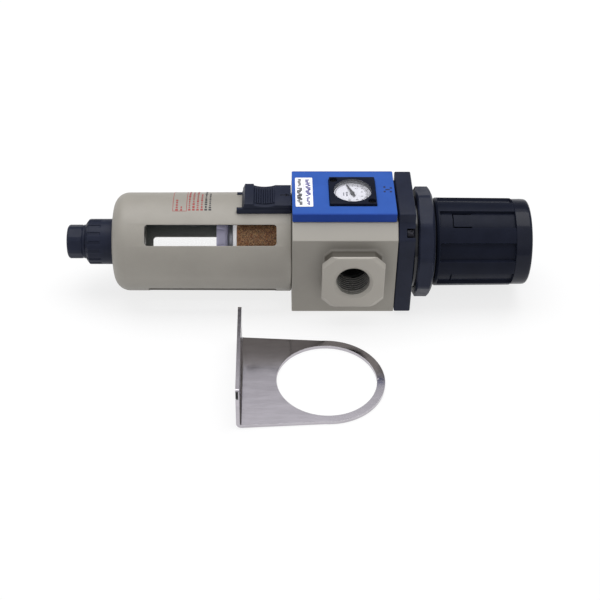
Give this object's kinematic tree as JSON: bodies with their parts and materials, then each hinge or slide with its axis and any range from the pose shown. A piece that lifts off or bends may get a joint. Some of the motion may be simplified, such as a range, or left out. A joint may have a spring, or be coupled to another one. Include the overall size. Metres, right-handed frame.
{
  "type": "filter regulator lubricator",
  "caption": "Compressed-air filter regulator with metal-guarded clear bowl, manual drain, square embedded gauge, locking setting knob and loose neck-mount bracket.",
  "frame": {"origin": "Centre of the body's flat back face, under the port axis; the back face lies at z = 0 and the unit's long axis runs at z = 29 mm.", "axes": "+X runs along the unit from the drain to the setting knob, +Z leaves the cover and the gauge, and the two ports open along -Y and +Y."},
  "size_m": [0.2642, 0.1564, 0.0693],
  "materials": {
    "grey_paint": "satin",
    "blue_plastic": "satin",
    "label_white": "matte",
    "dial_white": "matte",
    "white_plastic": "satin",
    "lilac_plastic": "satin",
    "black_plastic": "satin",
    "black_satin": "satin",
    "black_gloss": "gloss",
    "clear_plastic": "clear",
    "sintered_bronze": "rough sintered",
    "brass": "machined",
    "steel": "zinc plated",
    "zinc": "die cast",
    "nickel_sheet": "nickel plated sheet",
    "rubber": "moulded"
  },
  "bodies": {
    "housing": {"body": "grey_paint", "front_cover": "blue_plastic", "cover_label": "label_white", "gauge_case": "black_plastic", "gauge_dial": "dial_white", "gauge_lens": "clear_plastic", "gauge_socket": "brass", "bourdon_tube": "brass", "movement_plate": "brass", "gauge_screw_1": "steel", "gauge_screw_2": "steel", "bonnet": "black_satin", "bonnet_screw_1": "steel", "bonnet_screw_2": "steel", "bonnet_screw_3": "steel", "bonnet_screw_4": "steel", "regulating_spring": "steel", "diaphragm": "rubber", "valve_seat": "brass", "valve_guide": "brass", "valve_spring": "steel", "deflector": "white_plastic", "filter_element": "sintered_bronze", "element_gasket": "rubber", "element_ring": "white_plastic", "element_cap": "zinc", "baffle": "lilac_plastic", "tie_bolt": "brass"},
    "pointer": {"gauge_pointer": "black_satin"},
    "sector": {"sector_gear": "brass"},
    "nut": {"ring_nut": "black_satin"},
    "spindle": {"adjusting_screw": "steel"},
    "knob": {"knob": "black_gloss"},
    "seat": {"spring_seat": "brass"},
    "diaphragm_stack": {"diaphragm_plate": "zinc", "relief_seat": "brass"},
    "poppet": {"poppet_valve": "brass"},
    "bowl_carrier": {"bowl_o_ring": "rubber"},
    "bowl_unit": {"bowl": "clear_plastic", "bowl_guard": "grey_paint", "lock_rail": "black_plastic", "lock_spring": "steel", "drain_body": "black_plastic", "drain_nut": "black_plastic"},
    "lock": {"lock_button": "black_plastic"},
    "drain_knob": {"drain_cap": "black_plastic"},
    "drain_valve": {"drain_stem": "brass"},
    "bracket": {"bracket": "nickel_sheet"}
  },
  "joints": [
    {"name": "pointer_turn", "type": "hinge", "parent": "housing", "child": "pointer", "pos_m": [0, 0, 0.0634], "axis": [0, 0, 1], "range_deg": [-220, 0]},
    {"name": "sector_turn", "type": "hinge", "parent": "housing", "child": "sector", "pos_m": [-0.006, 0, 0.0592], "axis": [0, 0, 1], "range_deg": [0, 44]},
    {"name": "ring_nut_turn", "type": "hinge", "parent": "housing", "child": "nut", "pos_m": [0.0411, 0, 0.029], "axis": [1, 0, 0], "continuous": true},
    {"name": "setting_turn", "type": "hinge", "parent": "housing", "child": "spindle", "pos_m": [0.086, 0, 0.029], "axis": [1, 0, 0], "range_deg": [-2160, 0]},
    {"name": "knob_pull", "type": "slide", "parent": "spindle", "child": "knob", "axis": [1, 0, 0], "range_m": [0, 0.003]},
    {"name": "seat_travel", "type": "slide", "parent": "housing", "child": "seat", "axis": [-1, 0, 0], "range_m": [0, 0.00751], "deforming": ["regulating_spring"]},
    {"name": "diaphragm_travel", "type": "slide", "parent": "housing", "child": "diaphragm_stack", "axis": [-1, 0, 0], "range_m": [0, 0.0014], "deforming": ["diaphragm", "regulating_spring"]},
    {"name": "poppet_travel", "type": "slide", "parent": "housing", "child": "poppet", "axis": [-1, 0, 0], "range_m": [0, 0.0014], "deforming": ["valve_spring"]},
    {"name": "bowl_pull", "type": "slide", "parent": "housing", "child": "bowl_carrier", "axis": [-1, 0, 0], "range_m": [0, 0.13]},
    {"name": "bowl_twist", "type": "hinge", "parent": "bowl_carrier", "child": "bowl_unit", "pos_m": [-0.085, 0, 0.029], "axis": [1, 0, 0], "range_deg": [-45, 0]},
    {"name": "lock_slide", "type": "slide", "parent": "bowl_unit", "child": "lock", "axis": [-1, 0, 0], "range_m": [0, 0.0045], "stiffness_N_per_m": 400, "springref_m": -0.002, "deforming": ["lock_spring"]},
    {"name": "drain_turn", "type": "hinge", "parent": "bowl_unit", "child": "drain_knob", "pos_m": [-0.157, 0, 0.029], "axis": [1, 0, 0], "range_deg": [0, 180]},
    {"name": "drain_lift", "type": "slide", "parent": "bowl_unit", "child": "drain_valve", "axis": [1, 0, 0], "range_m": [0, 0.001]},
    {"name": "bracket_lift", "type": "slide", "parent": "housing", "child": "bracket", "axis": [0, 0, 1], "range_m": [0, 0.08]}
  ],
  "couplings": [
    {"joint": "sector_turn", "follows": "pointer_turn", "ratio": -0.2},
    {"joint": "seat_travel", "follows": "setting_turn", "m_per_rad": -0.00019894},
    {"joint": "poppet_travel", "follows": "diaphragm_travel", "ratio": 1},
    {"joint": "drain_turn", "follows": "drain_lift", "rad_per_m": 3141.6}
  ]
}
